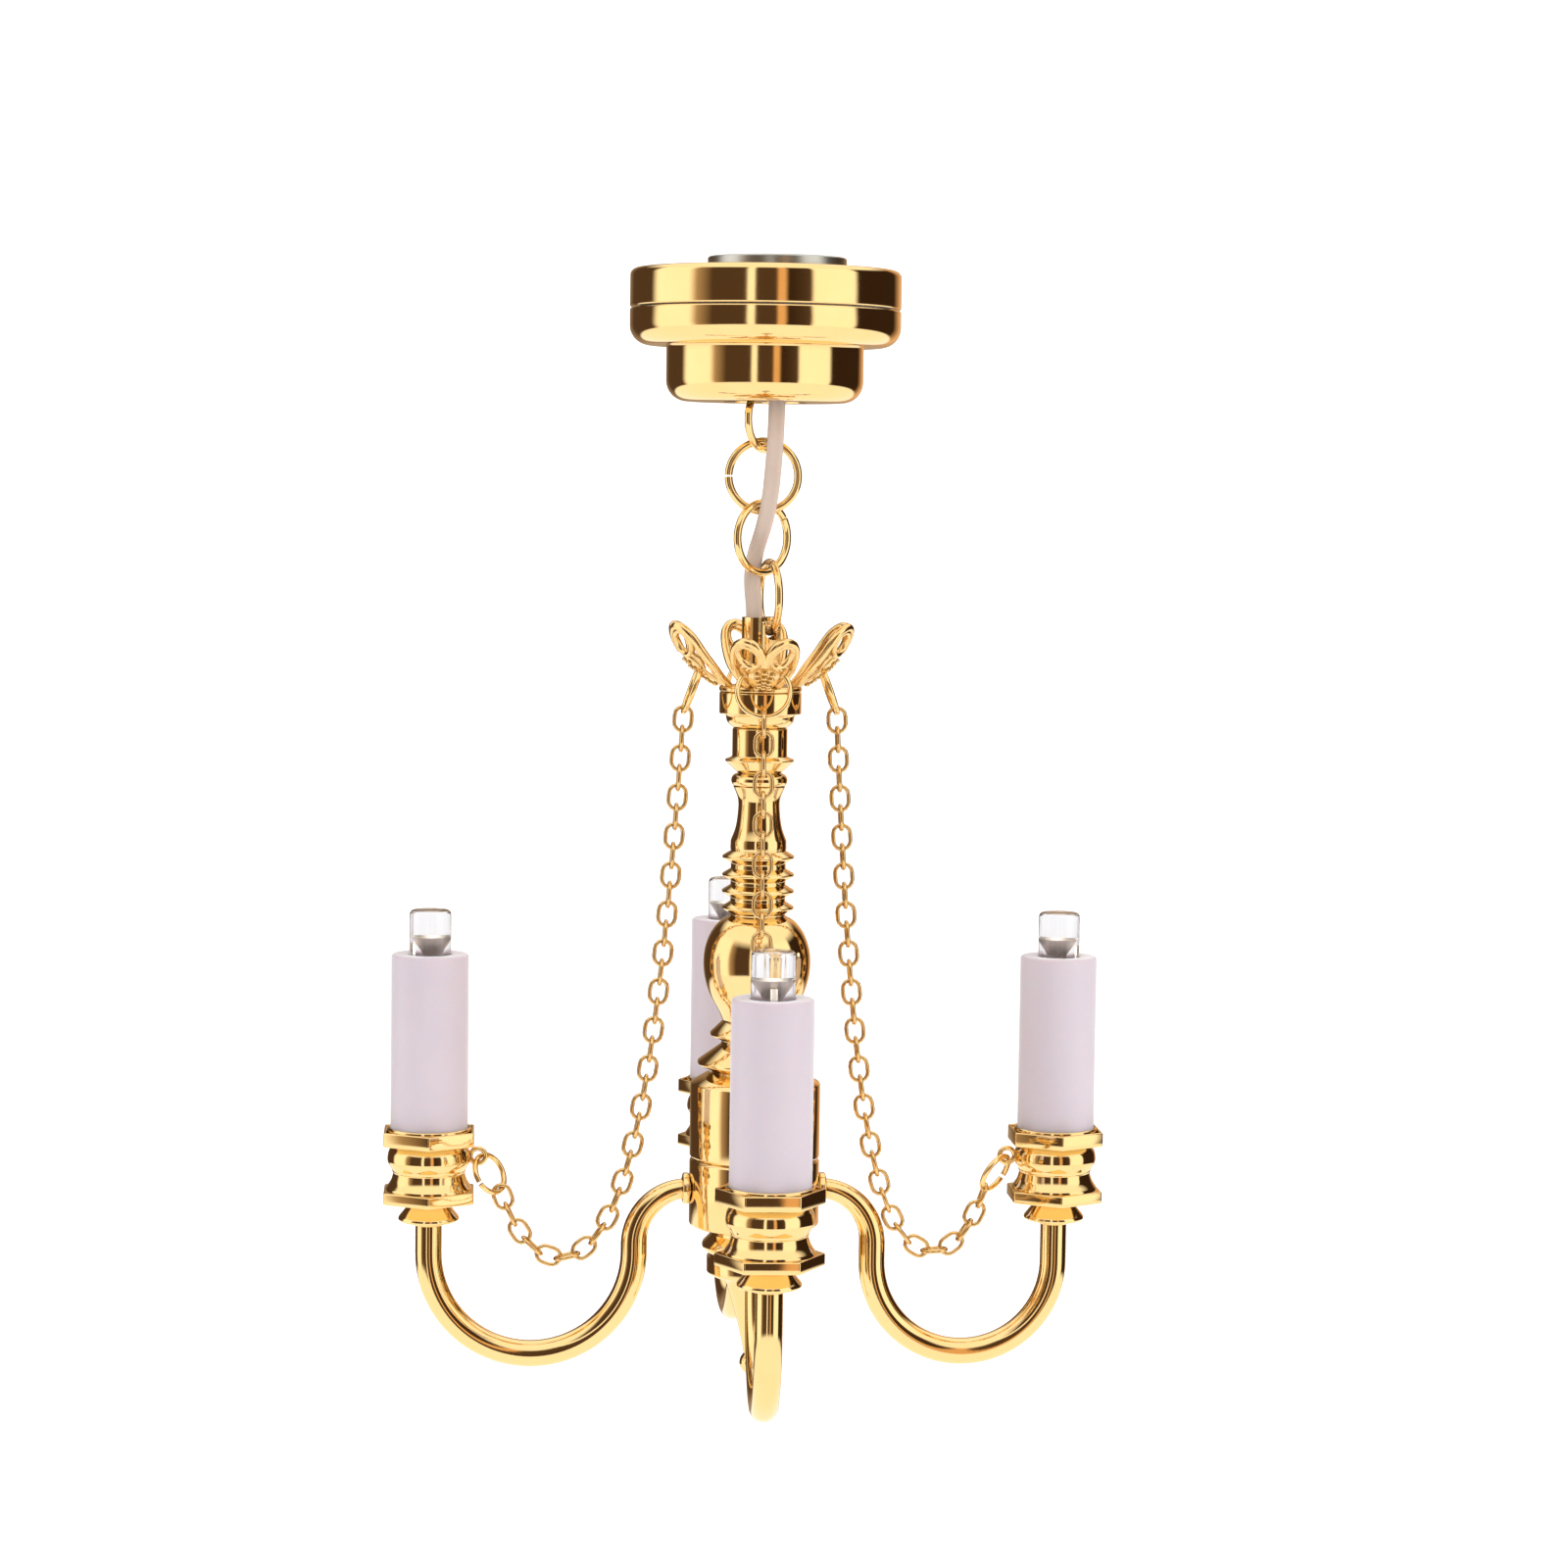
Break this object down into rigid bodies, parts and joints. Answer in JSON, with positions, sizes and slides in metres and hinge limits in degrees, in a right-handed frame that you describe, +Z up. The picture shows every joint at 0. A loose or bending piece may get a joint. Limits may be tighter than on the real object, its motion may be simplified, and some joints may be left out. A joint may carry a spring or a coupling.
{
  "type": "miniature chandelier",
  "caption": "Dolls house hanging light: magnetic battery canopy, ring hanger, turned gold stem, curved arms with candle lights and swagged chains.",
  "frame": {"origin": "on the lamp's centre line at the ceiling magnet's top face", "axes": "+Z up out of the magnet's face, +X along the right arm, -Y towards the front arm"},
  "size_m": [0.0524, 0.0522, 0.0815],
  "materials": {
    "gold_plate": "polished gold plate",
    "magnet": "nickel-plated, slightly satin",
    "tray_plastic": "plain moulded",
    "cell_steel": "satin can",
    "contact_metal": "tinned",
    "lead_pvc": "soft satin, milky",
    "wire_pvc": "thin insulation",
    "candle_plastic": "milky, satin",
    "led_epoxy": "water clear, flat top"
  },
  "bodies": {
    "cover": {"ceiling_magnet": "magnet", "canopy_cover": "gold_plate", "contact_top": "contact_metal"},
    "tray": {"battery_tray": "tray_plastic", "button_cell": "cell_steel"},
    "base": {"canopy_base": "gold_plate", "hanger_bar": "gold_plate", "contact_base": "contact_metal"},
    "eye": {"hanger_eye": "gold_plate"},
    "lamp": {"jump_ring_1": "gold_plate", "jump_ring_2": "gold_plate", "jump_ring_3": "gold_plate", "lead": "lead_pvc", "top_tube": "gold_plate", "crown": "gold_plate", "crown_collar": "gold_plate", "neck_bead": "gold_plate", "vase": "gold_plate", "ball": "gold_plate", "skirt": "gold_plate", "hub_upper": "gold_plate", "hub_lower": "gold_plate", "hub_nut": "contact_metal", "finial": "gold_plate", "centre_tube": "contact_metal", "led_wires": "wire_pvc", "arm_right": "gold_plate", "bell_right": "gold_plate", "candle_cup_right": "gold_plate", "candle_sleeve_right": "candle_plastic", "led_right": "led_epoxy", "swag_top_ring_right": "gold_plate", "swag_end_ring_right": "gold_plate", "arm_back": "gold_plate", "bell_back": "gold_plate", "candle_cup_back": "gold_plate", "candle_sleeve_back": "candle_plastic", "led_back": "led_epoxy", "swag_top_ring_back": "gold_plate", "swag_end_ring_back": "gold_plate", "arm_left": "gold_plate", "bell_left": "gold_plate", "candle_cup_left": "gold_plate", "candle_sleeve_left": "candle_plastic", "led_left": "led_epoxy", "swag_top_ring_left": "gold_plate", "swag_end_ring_left": "gold_plate", "arm_front": "gold_plate", "bell_front": "gold_plate", "candle_cup_front": "gold_plate", "candle_sleeve_front": "candle_plastic", "led_front": "led_epoxy", "swag_top_ring_front": "gold_plate", "swag_end_ring_front": "gold_plate"},
    "swag_right": {"swag_chain_right": "gold_plate"},
    "swag_back": {"swag_chain_back": "gold_plate"},
    "swag_left": {"swag_chain_left": "gold_plate"},
    "swag_front": {"swag_chain_front": "gold_plate"}
  },
  "joints": [
    {"name": "canopy_pull", "type": "slide", "parent": "cover", "child": "tray", "axis": [0, 0, -1], "range_m": [0, 0.004]},
    {"name": "switch_twist", "type": "hinge", "parent": "tray", "child": "base", "pos_m": [0, 0, 0], "axis": [0, 0, 1], "range_deg": [0, 30]},
    {"name": "eye_swing", "type": "hinge", "parent": "base", "child": "eye", "pos_m": [0, 0, -0.0098], "axis": [0.8192, -0.5736, 0], "range_deg": [-12, 12]},
    {"name": "lamp_swing", "type": "hinge", "parent": "eye", "child": "lamp", "pos_m": [0, 0, -0.01372], "axis": [0.5736, 0.8192, 0], "range_deg": [-10, 10]},
    {"name": "swag_sway_right", "type": "hinge", "parent": "lamp", "child": "swag_right", "pos_m": [0.00557, 0, -0.0327], "axis": [0.3106, 0, -0.9506], "range_deg": [-4, 4]},
    {"name": "swag_sway_back", "type": "hinge", "parent": "lamp", "child": "swag_back", "pos_m": [-0.00016, 0.00557, -0.0327], "axis": [-0.0091, 0.325, -0.9457], "range_deg": [-4, 4]},
    {"name": "swag_sway_left", "type": "hinge", "parent": "lamp", "child": "swag_left", "pos_m": [-0.00557, 0, -0.0327], "axis": [-0.3466, 0, -0.938], "range_deg": [-4, 4]},
    {"name": "swag_sway_front", "type": "hinge", "parent": "lamp", "child": "swag_front", "pos_m": [-0.00016, -0.00557, -0.0327], "axis": [-0.0091, -0.325, -0.9457], "range_deg": [-4, 4]}
  ]
}
